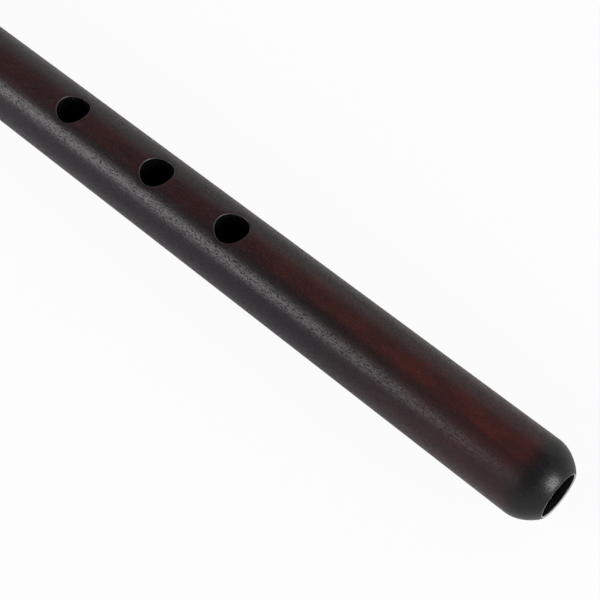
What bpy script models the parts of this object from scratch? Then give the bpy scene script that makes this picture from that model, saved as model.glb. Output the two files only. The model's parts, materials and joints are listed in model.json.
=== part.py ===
"""A duduk: a straight wooden pipe with a wide cane reed, the reed's tuning bridle and its cap.

Metres, +Z up. The bore lies along X, with the foot at +X, the reed at -X and the finger holes on top.
The origin is under the middle of the whole instrument, on the surface that it lies on.
Along the body, a place is measured from the head's end, and along the reed from its round base.
"""

import math

import bmesh
import bpy
from mathutils import Matrix, Vector

# Body
BODY_LENGTH = 0.380
BODY_DIAMETER = 0.020
BORE_DIAMETER = 0.0114
BODY_SIDES = 32

# Foot
FOOT_DOME_LENGTH = 0.007
FOOT_LIP_DIAMETER = 0.0122
FOOT_MOUTH_CHAMFER = 0.0002
FOOT_ROUNDNESS_ALONG = 1.8
FOOT_ROUNDNESS_ACROSS = 1.2
FOOT_STEPS = 9

# Head
HEAD_LENGTH = 0.040
HEAD_DIAMETER = 0.0264
HEAD_END_DIAMETER = 0.0226
HEAD_BELT_FROM_END = 0.013
HEAD_BELT_LENGTH = 0.006
HEAD_EDGE_ROUND = 0.0010
HEAD_STEPS = 6
GROOVE_DEPTH = 0.0005
GROOVE_WIDTH = 0.0012
GROOVE_SPACING = 0.0030
GROOVE_FROM_HEAD = 0.0030

# Finger holes, from the foot's end to the lowest hole and then from each hole to the next
HOLE_DIAMETER = 0.0085
LOWEST_HOLE_FROM_FOOT = 0.0981
HOLE_GAPS = (0.0258, 0.0306, 0.0350, 0.0265, 0.0265, 0.0255, 0.0250)
THUMB_HOLE_DIAMETER = 0.0080
THUMB_HOLE_BELOW_TOP_HOLE = 0.0125
HOLE_SIDES = 24

# Reed
REED_LENGTH = 0.104
REED_BASE_DIAMETER = 0.0112
REED_BASE_WALL = 0.0011
REED_ROUND_LENGTH = 0.023
REED_LIP_WIDTH = 0.029
REED_LIP_THICKNESS = 0.0034
REED_LIP_WALL = 0.0009
REED_SPREAD = 1.5
REED_FLATTENING = 1.8
REED_SIDES = 32
REED_STEPS = 12

# Thread winding on the reed's base
THREAD_DIAMETER = 0.0010
THREAD_GAP = 0.0005
WINDING_TURNS = 13
WINDING_FROM_BASE = 0.0008
SOCKET_DEPTH = 0.0165

# Bridle
BRIDLE_FROM_TIP = 0.043
BRIDLE_TRAVEL = 0.008
SLAT_WIDTH = 0.0065
SLAT_THICKNESS = 0.0018
SLAT_EDGE_ROUND = 0.0004
SLAT_STEPS = 16
TIE_THREAD_DIAMETER = 0.0007
TIE_THREAD_GAP = 0.0005
TIE_TURNS = 3
TIE_MARGIN = 0.0003

# Cap
CAP_LENGTH = 0.024
CAP_WIDTH = 0.036
CAP_SLOT_DEPTH = 0.018
CAP_JAW = 0.0026
CAP_EDGE_ROUND = 0.0009
CAP_NOSE_STEPS = 8

# Gaps between pieces that touch on the real duduk
CLEARANCE = 0.0003
TIP_CLEARANCE = 0.0005

POINTS_PER_TURN = 24
CORNER_POINTS = 5
MINIMUM_THREAD_GAP = 0.0004
CUTTER_REACH = 0.002
MERGE = 0.00001
SMOOTH_ANGLE = math.radians(30)

# Sizes and places that follow from the ones above
BODY_RADIUS = BODY_DIAMETER / 2
BORE_RADIUS = BORE_DIAMETER / 2
BASE_RADIUS = REED_BASE_DIAMETER / 2
THREAD_PITCH = THREAD_DIAMETER + THREAD_GAP
WINDING_RADIUS = BASE_RADIUS + CLEARANCE + THREAD_DIAMETER / 2
SOCKET_RADIUS = WINDING_RADIUS + THREAD_DIAMETER / 2 + CLEARANCE
REED_IN_SOCKET = SOCKET_DEPTH - CLEARANCE
TIE_PITCH = TIE_THREAD_DIAMETER + TIE_THREAD_GAP
TIE_LENGTH = TIE_TURNS * TIE_PITCH + TIE_THREAD_DIAMETER + 2 * TIE_MARGIN
CAP_BEYOND_TIP = CAP_LENGTH - CAP_SLOT_DEPTH + TIP_CLEARANCE
WHOLE_LENGTH = BODY_LENGTH + REED_LENGTH - REED_IN_SOCKET + CAP_BEYOND_TIP

FOOT_X = WHOLE_LENGTH / 2
HEAD_X = FOOT_X - BODY_LENGTH
REED_BASE_X = HEAD_X + REED_IN_SOCKET
REED_TIP_X = REED_BASE_X - REED_LENGTH
BRIDLE_X = REED_TIP_X + BRIDLE_FROM_TIP
CAP_MOUTH_X = REED_TIP_X - TIP_CLEARANCE + CAP_SLOT_DEPTH
AXIS_Z = HEAD_DIAMETER / 2 * math.cos(math.pi / BODY_SIDES)


def clear_scene():
    for obj in list(bpy.data.objects):
        bpy.data.objects.remove(obj)


def collection(name):
    made = bpy.data.collections.new(name)
    bpy.context.scene.collection.children.link(made)
    return made


def material(name, colour, roughness):
    made = bpy.data.materials.new(name)
    made.use_nodes = True
    shader = made.node_tree.nodes["Principled BSDF"]
    shader.inputs["Base Color"].default_value = (*colour, 1.0)
    shader.inputs["Roughness"].default_value = roughness
    shader.inputs["Metallic"].default_value = 0.0
    made.diffuse_color = (*colour, 1.0)
    return made


def add_object(name, data, home):
    obj = bpy.data.objects.new(name, data)
    home.objects.link(obj)
    return obj


def finish(obj, surface):
    obj.data.materials.clear()
    obj.data.materials.append(surface)
    if obj.type == "MESH":
        obj.data.shade_smooth()
        obj.data.set_sharp_from_angle(angle=SMOOTH_ANGLE)


def make_cutter(obj):
    obj.hide_render = True
    obj.display_type = "WIRE"


def cut(obj, cutter):
    modifier = obj.modifiers.new("cut " + cutter.name, "BOOLEAN")
    modifier.operation = "DIFFERENCE"
    modifier.solver = "EXACT"
    modifier.object = cutter


def body_turned_to_x():
    """Turns a shape made about +Z so that it lies along +X, with the middle of a side underneath."""
    half_side = Matrix.Rotation(math.pi / BODY_SIDES, 4, "Z")
    return Matrix.Rotation(math.pi / 2, 4, "Y") @ half_side


def foot_outline():
    """The rounded foot, from its flat lip to the straight pipe, as (radius, place)."""
    lip = FOOT_LIP_DIAMETER / 2
    start = BODY_LENGTH - FOOT_DOME_LENGTH
    points = []
    for step in range(FOOT_STEPS + 1):
        angle = math.pi / 2 * (1 - step / FOOT_STEPS)
        along = max(math.sin(angle), 0.0) ** (2 / FOOT_ROUNDNESS_ALONG)
        across = max(math.cos(angle), 0.0) ** (2 / FOOT_ROUNDNESS_ACROSS)
        points.append((lip + (BODY_RADIUS - lip) * across, start + FOOT_DOME_LENGTH * along))
    return points


def groove_outline(middle):
    """One V groove turned into the pipe, on the foot's side first."""
    half = GROOVE_WIDTH / 2
    return [
        (BODY_RADIUS, middle + half),
        (BODY_RADIUS - GROOVE_DEPTH, middle),
        (BODY_RADIUS, middle - half),
    ]


def head_outline():
    """The swelled head, from the pipe to the round edge of its end face."""
    belt = HEAD_DIAMETER / 2
    end = HEAD_END_DIAMETER / 2
    belt_start = HEAD_BELT_FROM_END + HEAD_BELT_LENGTH
    points = []
    for step in range(HEAD_STEPS + 1):
        share = step / HEAD_STEPS
        swell = (1 - math.cos(math.pi * share)) / 2
        place = HEAD_LENGTH + (belt_start - HEAD_LENGTH) * share
        points.append((BODY_RADIUS + (belt - BODY_RADIUS) * swell, place))
    for step in range(HEAD_STEPS + 1):
        angle = math.pi / 2 * step / HEAD_STEPS
        place = HEAD_BELT_FROM_END + (HEAD_EDGE_ROUND - HEAD_BELT_FROM_END) * math.sin(angle)
        points.append((end + (belt - end) * math.cos(angle), place))
    half_angle = math.pi / 4
    edge = HEAD_EDGE_ROUND
    points.append((end - edge * (1 - math.cos(half_angle)), edge * (1 - math.sin(half_angle))))
    points.append((end - edge, 0.0))
    return points


def body_outline():
    """The whole section: down the outside from the foot to the head, and back through the bore."""
    grooves = [HEAD_LENGTH + GROOVE_FROM_HEAD + GROOVE_SPACING, HEAD_LENGTH + GROOVE_FROM_HEAD]
    outside = foot_outline()
    for middle in grooves:
        outside += groove_outline(middle)
    outside += head_outline()
    inside = [
        (SOCKET_RADIUS, 0.0),
        (SOCKET_RADIUS, SOCKET_DEPTH),
        (BORE_RADIUS, SOCKET_DEPTH),
        (BORE_RADIUS, BODY_LENGTH - FOOT_MOUTH_CHAMFER),
        (BORE_RADIUS + FOOT_MOUTH_CHAMFER, BODY_LENGTH),
    ]
    return outside + inside


def turned(name, outline, sides, home):
    """A closed outline of (radius, place) turned about Z with a Screw modifier."""
    mesh = bpy.data.meshes.new(name)
    count = len(outline)
    vertices = [(radius, 0.0, place) for radius, place in outline]
    mesh.from_pydata(vertices, [(i, (i + 1) % count) for i in range(count)], [])
    obj = add_object(name, mesh, home)
    screw = obj.modifiers.new("turn", "SCREW")
    screw.axis = "Z"
    screw.steps = sides
    screw.render_steps = sides
    screw.use_merge_vertices = True
    screw.merge_threshold = MERGE
    screw.use_smooth_shade = True
    return obj


def hole_cutter(name, diameter, place, side, home):
    """A cutter through the wall on one side: +1 is the top and -1 the underside."""
    depth = BODY_RADIUS + CUTTER_REACH
    bpy.ops.mesh.primitive_cylinder_add(vertices=HOLE_SIDES, radius=diameter / 2, depth=depth)
    cutter = bpy.context.active_object
    cutter.name = name
    for owner in list(cutter.users_collection):
        owner.objects.unlink(cutter)
    home.objects.link(cutter)
    cutter.location = (HEAD_X + place, 0.0, AXIS_Z + side * depth / 2)
    make_cutter(cutter)
    return cutter


def hole_places():
    """The finger holes' middles, from the head's end, lowest hole first."""
    from_foot = LOWEST_HOLE_FROM_FOOT
    places = [BODY_LENGTH - from_foot]
    for gap in HOLE_GAPS:
        from_foot += gap
        places.append(BODY_LENGTH - from_foot)
    return places


def make_body(home, cutters, surface):
    body = turned("body", body_outline(), BODY_SIDES, home)
    body.matrix_world = Matrix.Translation((HEAD_X, 0.0, AXIS_Z)) @ body_turned_to_x()
    places = hole_places()
    for number, place in enumerate(reversed(places), 1):
        cut(body, hole_cutter(f"finger_hole_{number}", HOLE_DIAMETER, place, 1, cutters))
    thumb_place = places[-1] + THUMB_HOLE_BELOW_TOP_HOLE
    cut(body, hole_cutter("thumb_hole", THUMB_HOLE_DIAMETER, thumb_place, -1, cutters))
    finish(body, surface)
    return body


def reed_share(place):
    """0 on the reed's round base, growing to 1 at the lips."""
    share = (place - REED_ROUND_LENGTH) / (REED_LENGTH - REED_ROUND_LENGTH)
    return min(max(share, 0.0), 1.0)


def reed_width(place):
    spread = 1 - (1 - reed_share(place)) ** REED_SPREAD
    return REED_BASE_DIAMETER + (REED_LIP_WIDTH - REED_BASE_DIAMETER) * spread


def reed_thickness(place):
    flattening = 1 - (1 - reed_share(place)) ** REED_FLATTENING
    return REED_BASE_DIAMETER + (REED_LIP_THICKNESS - REED_BASE_DIAMETER) * flattening


def reed_wall(place):
    return REED_BASE_WALL + (REED_LIP_WALL - REED_BASE_WALL) * reed_share(place)


def reed_places():
    span = REED_LENGTH - REED_ROUND_LENGTH
    return [0.0] + [REED_ROUND_LENGTH + span * step / REED_STEPS for step in range(REED_STEPS + 1)]


def oval(width, thickness, x):
    points = []
    for step in range(REED_SIDES):
        angle = 2 * math.pi * step / REED_SIDES
        y = width / 2 * math.cos(angle)
        z = thickness / 2 * math.sin(angle)
        points.append(Vector((x, y, z)))
    return points


def bridge(mesh, first, second):
    """Joins two rings of as many points with a band of faces."""
    count = len(first)
    for i in range(count):
        j = (i + 1) % count
        mesh.faces.new((first[i], first[j], second[j], second[i]))


def make_reed(home, surface):
    """A loft from the round base to the flat lips, open from end to end."""
    mesh = bmesh.new()
    outside = []
    inside = []
    for place in reed_places():
        width = reed_width(place)
        thickness = reed_thickness(place)
        hollow = 2 * reed_wall(place)
        outside.append([mesh.verts.new(p) for p in oval(width, thickness, -place)])
        inside.append([mesh.verts.new(p) for p in oval(width - hollow, thickness - hollow, -place)])
    rings = outside + inside[::-1]
    for first, second in zip(rings, rings[1:] + rings[:1]):
        bridge(mesh, first, second)
    bmesh.ops.recalc_face_normals(mesh, faces=mesh.faces)
    data = bpy.data.meshes.new("reed")
    mesh.to_mesh(data)
    mesh.free()
    reed = add_object("reed", data, home)
    reed.location = (REED_BASE_X, 0.0, AXIS_Z)
    finish(reed, surface)
    return reed


def least_gap(points, diameter):
    """The least gap between turns of a winding: points half a turn or more apart along it."""
    apart = POINTS_PER_TURN // 2
    gap = math.inf
    for i, first in enumerate(points):
        for second in points[i + apart:]:
            gap = min(gap, (first - second).length - diameter)
    return gap


def thread(name, points, diameter, home, surface):
    """One unbroken round thread through its points."""
    gap = least_gap(points, diameter)
    print(f"{name}: least gap between its turns {gap * 1000:.2f} mm")
    if gap <= MINIMUM_THREAD_GAP:
        print(f"{name}: its turns lie closer than {MINIMUM_THREAD_GAP * 1000:.1f} mm")
    curve = bpy.data.curves.new(name, "CURVE")
    curve.dimensions = "3D"
    curve.bevel_depth = diameter / 2
    curve.bevel_resolution = 1
    curve.use_fill_caps = True
    spline = curve.splines.new("POLY")
    spline.points.add(len(points) - 1)
    for place, point in zip(spline.points, points):
        place.co = (*point, 1.0)
    wound = add_object(name, curve, home)
    finish(wound, surface)
    return wound


def make_winding(home, surface):
    """The thread round the reed's base, from just above its end."""
    start = WINDING_FROM_BASE + THREAD_DIAMETER / 2
    points = []
    for step in range(WINDING_TURNS * POINTS_PER_TURN + 1):
        turns = step / POINTS_PER_TURN
        angle = 2 * math.pi * turns
        x = -(start + turns * THREAD_PITCH)
        points.append(Vector((x, WINDING_RADIUS * math.cos(angle), WINDING_RADIUS * math.sin(angle))))
    winding = thread("reed_winding", points, THREAD_DIAMETER, home, surface)
    winding.location = (REED_BASE_X, 0.0, AXIS_Z)
    return winding


def bridle_inner_size():
    """Half width and half height of the space between the slats.

    It is as high as the reed where the bridle rests, and as wide as the reed where the bridle's travel ends.
    """
    rest = REED_LENGTH - BRIDLE_FROM_TIP
    widest = rest + BRIDLE_TRAVEL + SLAT_WIDTH / 2
    half_width = reed_width(widest) / 2 + CLEARANCE
    half_height = reed_thickness(rest - SLAT_WIDTH / 2) / 2 + CLEARANCE
    return half_width, half_height


def arch(half_width, half_height, floor):
    """The part of an oval above a floor, from -Y to +Y."""
    end = math.asin(floor / half_height)
    points = []
    for step in range(SLAT_STEPS + 1):
        angle = math.pi - end - (math.pi - 2 * end) * step / SLAT_STEPS
        points.append((half_width * math.cos(angle), half_height * math.sin(angle)))
    return points


def slat_outline():
    """The upper slat seen along the reed: an arch over it, and a flat end on each side."""
    half_width, half_height = bridle_inner_size()
    seam = CLEARANCE / 2
    reach = half_width + SLAT_THICKNESS + TIE_LENGTH
    inner = arch(half_width, half_height, seam)
    outer = arch(half_width + SLAT_THICKNESS, half_height + SLAT_THICKNESS, seam + SLAT_THICKNESS)
    top = seam + SLAT_THICKNESS
    return [(-reach, seam)] + inner + [(reach, seam), (reach, top)] + outer[::-1] + [(-reach, top)]


def extruded(name, outline, thickness, home):
    """A flat outline given its thickness, as a mesh about its own middle plane."""
    curve = bpy.data.curves.new(name, "CURVE")
    curve.dimensions = "2D"
    curve.fill_mode = "BOTH"
    curve.extrude = thickness / 2
    spline = curve.splines.new("POLY")
    spline.points.add(len(outline) - 1)
    for place, point in zip(spline.points, outline):
        place.co = (*point, 0.0, 1.0)
    spline.use_cyclic_u = True
    drawn = add_object(name + " outline", curve, home)
    graph = bpy.context.evaluated_depsgraph_get()
    mesh = bpy.data.meshes.new_from_object(drawn.evaluated_get(graph))
    bpy.data.objects.remove(drawn)
    welded = bmesh.new()
    welded.from_mesh(mesh)
    bmesh.ops.remove_doubles(welded, verts=welded.verts, dist=MERGE)
    bmesh.ops.recalc_face_normals(welded, faces=welded.faces)
    welded.to_mesh(mesh)
    welded.free()
    mesh.name = name
    return add_object(name, mesh, home)


def round_edges(obj, radius, segments):
    bevel = obj.modifiers.new("round edges", "BEVEL")
    bevel.limit_method = "ANGLE"
    bevel.angle_limit = SMOOTH_ANGLE
    bevel.width = radius
    bevel.segments = segments


def make_slat(name, side, home, surface):
    """One slat: +1 lies above the reed and -1 below it."""
    slat = extruded(name, slat_outline(), SLAT_WIDTH, home)
    across = Matrix(((0, 0, 1, 0), (1, 0, 0, 0), (0, 1, 0, 0), (0, 0, 0, 1)))
    turn = Matrix.Rotation(0.0 if side > 0 else math.pi, 4, "X")
    slat.matrix_world = Matrix.Translation((BRIDLE_X, 0.0, AXIS_Z)) @ turn @ across
    round_edges(slat, SLAT_EDGE_ROUND, 1)
    finish(slat, surface)
    return slat


def tie_loop():
    """One turn round both slats' ends, as (x, z): an arc at each corner and a point on each side."""
    half_x = SLAT_WIDTH / 2
    half_z = CLEARANCE / 2 + SLAT_THICKNESS
    radius = CLEARANCE + TIE_THREAD_DIAMETER / 2
    points = []
    for quarter in range(4):
        corner = math.pi / 4 + quarter * math.pi / 2
        corner_x = math.copysign(half_x, math.cos(corner))
        corner_z = math.copysign(half_z, math.sin(corner))
        for step in range(CORNER_POINTS):
            angle = quarter * math.pi / 2 + math.pi / 2 * step / (CORNER_POINTS - 1)
            points.append((corner_x + radius * math.cos(angle), corner_z + radius * math.sin(angle)))
        if quarter % 2 == 0:
            points.append((0.0, corner_z + math.copysign(radius, corner_z)))
        else:
            points.append((corner_x + math.copysign(radius, corner_x), 0.0))
    return points


def make_tie(name, side, home, surface):
    """The thread that binds the slats' ends on one side, wound outwards."""
    half_width, _ = bridle_inner_size()
    start = half_width + SLAT_THICKNESS + TIE_MARGIN + TIE_THREAD_DIAMETER / 2
    loop = tie_loop()
    points = []
    for step in range(TIE_TURNS * POINTS_PER_TURN + 1):
        x, z = loop[step % POINTS_PER_TURN]
        y = side * (start + TIE_PITCH * step / POINTS_PER_TURN)
        points.append(Vector((x, y, z)))
    tie = thread(name, points, TIE_THREAD_DIAMETER, home, surface)
    tie.location = (BRIDLE_X, 0.0, AXIS_Z)
    return tie


def cap_outline():
    """The cap from its side, as (x, z) from its mouth: a slotted block with a round nose."""
    mouth = REED_LENGTH + TIP_CLEARANCE - CAP_SLOT_DEPTH
    slot = reed_thickness(mouth) / 2 + CLEARANCE
    half = slot + CAP_JAW
    nose = CAP_LENGTH - CAP_SLOT_DEPTH
    points = [(0.0, slot), (0.0, half)]
    for step in range(CAP_NOSE_STEPS + 1):
        angle = math.pi / 2 + math.pi * step / CAP_NOSE_STEPS
        points.append((-(CAP_LENGTH - nose) + nose * math.cos(angle), half * math.sin(angle)))
    points += [(0.0, -half), (0.0, -slot), (-CAP_SLOT_DEPTH, -slot), (-CAP_SLOT_DEPTH, slot)]
    return points


def make_cap(home, surface):
    cap = extruded("reed_cap", cap_outline(), CAP_WIDTH, home)
    upright = Matrix.Rotation(math.pi / 2, 4, "X")
    cap.matrix_world = Matrix.Translation((CAP_MOUTH_X, 0.0, AXIS_Z)) @ upright
    round_edges(cap, CAP_EDGE_ROUND, 2)
    finish(cap, surface)
    return cap


def main():
    clear_scene()
    parts = collection("duduk")
    cutters = collection("cutters")
    dark_wood = material("dark stained wood", (0.030, 0.012, 0.011), 0.42)
    cane = material("reed cane", (0.620, 0.400, 0.160), 0.50)
    slat_cane = material("bridle cane", (0.420, 0.240, 0.100), 0.50)
    cap_wood = material("cap wood", (0.260, 0.120, 0.060), 0.45)
    waxed_thread = material("waxed thread", (0.360, 0.060, 0.050), 0.70)
    make_body(parts, cutters, dark_wood)
    make_reed(parts, cane)
    make_winding(parts, waxed_thread)
    make_slat("bridle_upper_slat", 1, parts, slat_cane)
    make_slat("bridle_lower_slat", -1, parts, slat_cane)
    make_tie("bridle_tie_left", 1, parts, waxed_thread)
    make_tie("bridle_tie_right", -1, parts, waxed_thread)
    make_cap(parts, cap_wood)


main()
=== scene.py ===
"""Dresses the duduk: its pipe of dark stained wood, and the cane reed with its thread, bridle and cap."""

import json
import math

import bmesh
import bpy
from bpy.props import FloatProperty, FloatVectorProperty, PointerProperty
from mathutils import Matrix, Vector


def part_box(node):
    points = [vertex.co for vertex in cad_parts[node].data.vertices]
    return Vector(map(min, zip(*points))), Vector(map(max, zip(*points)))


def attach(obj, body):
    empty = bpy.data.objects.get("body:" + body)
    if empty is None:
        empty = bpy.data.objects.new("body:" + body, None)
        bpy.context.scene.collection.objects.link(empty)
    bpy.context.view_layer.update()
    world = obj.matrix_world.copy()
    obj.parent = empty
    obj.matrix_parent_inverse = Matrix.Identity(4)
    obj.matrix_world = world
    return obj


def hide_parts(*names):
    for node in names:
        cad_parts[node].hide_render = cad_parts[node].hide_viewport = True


bl_info = {
    "name": "Duduk",
    "version": (1, 0, 0),
    "blender": (4, 5, 0),
    "location": "View3D > Sidebar > Duduk",
    "description": "Builds the finished surfaces of a duduk around its frame",
    "category": "Add Mesh",
}

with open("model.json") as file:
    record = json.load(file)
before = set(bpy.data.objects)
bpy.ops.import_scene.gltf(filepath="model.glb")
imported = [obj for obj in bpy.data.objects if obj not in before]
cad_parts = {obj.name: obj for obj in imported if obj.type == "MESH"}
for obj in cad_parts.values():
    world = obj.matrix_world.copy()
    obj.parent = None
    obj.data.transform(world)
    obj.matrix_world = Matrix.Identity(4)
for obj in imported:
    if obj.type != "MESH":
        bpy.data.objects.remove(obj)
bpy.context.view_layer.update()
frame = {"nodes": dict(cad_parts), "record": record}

MM = 0.001


def opening(name):
    """The lowest and highest corner of one of the record's openings."""
    for entry in frame["record"]["physics"]["openings"]:
        if entry["name"] == name:
            return Vector(entry["box_m"][0]), Vector(entry["box_m"][1])
    raise KeyError(name)


def middle_x(name):
    low, high = opening(name)
    return (low.x + high.x) / 2


# Places that the frame gives
BODY_LOW, BODY_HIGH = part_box("body")
HEAD_X = BODY_LOW.x
FOOT_X = BODY_HIGH.x
AXIS_Z = (BODY_LOW.z + BODY_HIGH.z) / 2
FINGER_HOLE_X = [middle_x(f"finger_hole_{number}") for number in range(1, 9)]
THUMB_HOLE_X = middle_x("thumb_hole")

# Pipe
PIPE_RADIUS = 10.0 * MM
BORE_RADIUS = 5.7 * MM
FOOT_DOME_LENGTH = 7.0 * MM
FOOT_LIP_RADIUS = 6.1 * MM
FOOT_ROUNDNESS_ALONG = 1.8
FOOT_ROUNDNESS_ACROSS = 1.2
FOOT_EDGE = 0.2 * MM
HEAD_LENGTH = 40.0 * MM
HEAD_RADIUS = (BODY_HIGH.z - BODY_LOW.z) / 2
HEAD_END_RADIUS = 11.3 * MM
HEAD_BELT_FROM_END = 13.0 * MM
HEAD_BELT_LENGTH = 6.0 * MM
HEAD_EDGE_ROUND = 1.0 * MM
SOCKET_RADIUS = 7.2 * MM
SOCKET_DEPTH = 16.5 * MM
GROOVE_DEPTH = 0.5 * MM
GROOVE_WIDTH = 1.2 * MM
GROOVE_PLACES = (43.0 * MM, 46.0 * MM)
# One groove's outline: half widths from its middle, and the share of its depth there
GROOVE_SHAPE = (
    (1.25, 0.0), (0.95, 0.08), (0.35, 0.85), (0.0, 1.0), (-0.35, 0.85), (-0.95, 0.08), (-1.25, 0.0)
)
FINGER_HOLE_RADIUS = 4.25 * MM
THUMB_HOLE_RADIUS = 4.0 * MM
SOCKET_EDGE = 0.3 * MM
# How much wider a hole is at the bore, and how far into the wood that edge reaches
BORE_HOLE_EDGE = (0.3 * MM, 0.2 * MM)

# The pipe's mesh: columns round it, and a window of columns and rows kept free at each hole
COLUMNS = 96
WINDOW_COLUMNS = 14
WINDOW_ROWS = 16
OUTER_WINDOW = 6.6 * MM
INNER_WINDOW = 5.4 * MM
ROW_SPACING = 2.5 * MM
PATCH_RINGS = 5
# An exponent: under 1, the rings of a patch crowd towards its hole
PATCH_CROWDING = 0.8
DISH_STEPS = 3
LIP_STEPS = 5
SHAFT_STEPS = 5
DOME_STEPS = 20
SWELL_STEPS = 24
HEAD_EDGE_STEPS = 5
MOUTH_STEPS = 4

# Dark wood. Angles are in radians from the top of the pipe. Each range runs from where a layer is
# faintest to where it is strongest, with its two strengths after it when they aren't 0 and 1.
BROAD_FIBRES = {"Width": 3.2 * MM, "Length": 22.0, "Contrast": 1.6}
FINE_FIBRES = {"Width": 0.35 * MM, "Length": 30.0, "Contrast": 1.5}
WOOD_PORES = {"Width": 0.18 * MM, "Length": 5.0, "Share": 0.165}
BAND_WANDER = 0.5
RED_BAND = (0.55, 0.10)
RED_TOWARDS_FOOT = (FOOT_X - 110 * MM, FOOT_X - 5 * MM, 0.45, 1.0)
WARM_END = (FOOT_X - 80 * MM, FOOT_X - 8 * MM, 0.0, 0.4)
# Painted reflection: a plum tint along the near side of the pipe
NEAR_REFLECTION_SIDE = (-0.35, -0.95, 0.0, 0.85)
# Painted light: a lighter brown tint along the far side of the pipe
FAR_LIGHT_SIDE = (0.40, 1.10, 0.0, 0.85)
INK_END = (FOOT_X - 11 * MM, FOOT_X - 4 * MM)
RED_SHARE = 0.75
FINE_SHARE = 0.35
PORE_SHARE = 0.6
RIM_HIGHLIGHT_SHARE = 0.7
MOUTH_HIGHLIGHT_SHARE = 0.9

# The fine lines across the red wood
RIPPLE_SPACING = 0.50 * MM
RIPPLE_BOW = -9.0 * MM
RIPPLE_DRIFT = 1.6 * MM
RIPPLE_DRIFT_SCALE = 160.0
RIPPLE_CREST = (-0.2, 0.9)
RIPPLE_PATCH_SCALE = (120.0, 300.0, 300.0)
RIPPLE_PATCHES = (0.30, 0.70, 0.3, 1.0)

# Where the holes are, and how far from the axis the painted highlight on their worn rims and the painted
# shade on their walls begin
HOLES_FROM = HEAD_X + 50 * MM
HOLES_TO = FOOT_X - FOOT_DOME_LENGTH - 1 * MM
RIM_HIGHLIGHT_RADII = (9.93 * MM, 9.80 * MM)
SHADED_WALL_RADII = (9.78 * MM, 9.62 * MM)
# A painted highlight: a pale line round the edge of the foot's mouth
MOUTH_HIGHLIGHT_FROM = FOOT_X - 0.25 * MM
MOUTH_HIGHLIGHT_RADIUS = BORE_RADIUS + 0.21 * MM

# The dark wood's surface
FIBRE_ROUGHNESS = 0.10
PORE_ROUGHNESS = 0.25
FIBRE_HEIGHT = 0.35
WOOD_RELIEF = 0.05 * MM
WOOD_IOR = 1.5
WOOD_GLOSS = 0.30

# Plain wood and cane
SCRAPED_CANE = {"wide": 2.2 * MM, "narrow": 0.28 * MM, "pore_share": 0.22, "roughness": 0.46}
BENT_CANE = {"wide": 1.6 * MM, "narrow": 0.3 * MM, "pore_share": 0.2, "roughness": 0.42}
CAP_WOOD = {"wide": 2.4 * MM, "narrow": 0.3 * MM, "pore_share": 0.25, "roughness": 0.36}
PLAIN_FINE_SHARE = 0.45
PLAIN_PORE_SHARE = 0.55
PLAIN_FIBRE_HEIGHT = 0.6
PLAIN_FIBRE_ROUGHNESS = 0.15
PLAIN_RELIEF = 0.03 * MM

# Pores in any wood: the noise level that a pore needs, less its share, and the softness of its edge
PORE_LEVEL = 0.75
PORE_SOFTNESS = 0.08

# Reed
REED_BASE_X = HEAD_X + SOCKET_DEPTH - 0.3 * MM
REED_LENGTH = 104.0 * MM
REED_ROUND_LENGTH = 23.0 * MM
REED_BASE_RADIUS = 5.6 * MM
REED_LIP_HALF_WIDTH = 14.5 * MM
REED_LIP_HALF_HEIGHT = 1.7 * MM
REED_SPREAD = 1.5
REED_FLATTENING = 1.8
REED_BASE_WALL = 1.1 * MM
REED_LIP_WALL = 0.9 * MM
REED_EDGE = 0.35 * MM
REED_SIDES = 72
REED_ROWS = 60
BARK_FROM_BASE = 34.0 * MM
REED_EDGE_STEPS = 4
SCRAPE_WAVER_SCALE = (60.0, 260.0, 260.0)
SCRAPE_WAVER = 9.0 * MM
SCRAPE_EDGE = 7.0 * MM
LIP_X = REED_BASE_X - REED_LENGTH
LIP_STAIN = (LIP_X + 16.0 * MM, LIP_X - 2.0 * MM)
BARK_SHARE = 0.8
LIP_SHARE = 0.5
BARK_GLOSS = -0.2

# Threads
WINDING_THREAD = 1.0 * MM
WINDING_TURNS = 19
TIE_THREAD = 0.7 * MM
TIE_TURNS = 5
TURN_POINTS = 24
THREAD_SIDES = 10
WINDING_CLEARANCE = 0.05 * MM
# The radius of a tie's corners, as a multiple of its thread's diameter
TIE_CORNER = 0.9
TIE_CORNER_STEPS = 5
THREAD_FIBRE_SCALE = (9000.0, 2600.0, 2600.0)
THREAD_FIBRE_EDGE = (0.35, 0.65)
THREAD_PATCH_SCALE = 420.0
THREAD_HOLLOWS = (0.5, 0.75, 0.0, 0.5)
THREAD_ROUGHNESS = (0.3, 0.7, 0.42, 0.62)
THREAD_RELIEF = 0.05 * MM

# Bridle
SLAT_THICKNESS = 1.8 * MM
SLAT_END_LENGTH = 4.9 * MM
SLAT_EDGE = 0.4 * MM
SLAT_STEPS = 40

# Edges
BEVEL_SEGMENTS = 3
BEVEL_FROM_ANGLE = math.radians(50)
SMOOTH_BELOW_ANGLE = math.radians(35)

# The photograph's view of the pipe: its frame is 600 pixels wide and high
FRAME_PIXELS = 600
FOCAL_PIXELS = 1454.8
SENSOR_MM = 36.0
VIEW_CENTRE_FROM_FOOT = 76.52 * MM
VIEW_DISTANCE = 316.7 * MM
VIEW_TILT = math.radians(23.43)
VIEW_ROLL = math.radians(24.22)
PIPE_SLOPE = math.radians(37.141)
VIEW_TARGET = (FOOT_X - VIEW_CENTRE_FROM_FOOT, 0.0, AXIS_Z)

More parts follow.
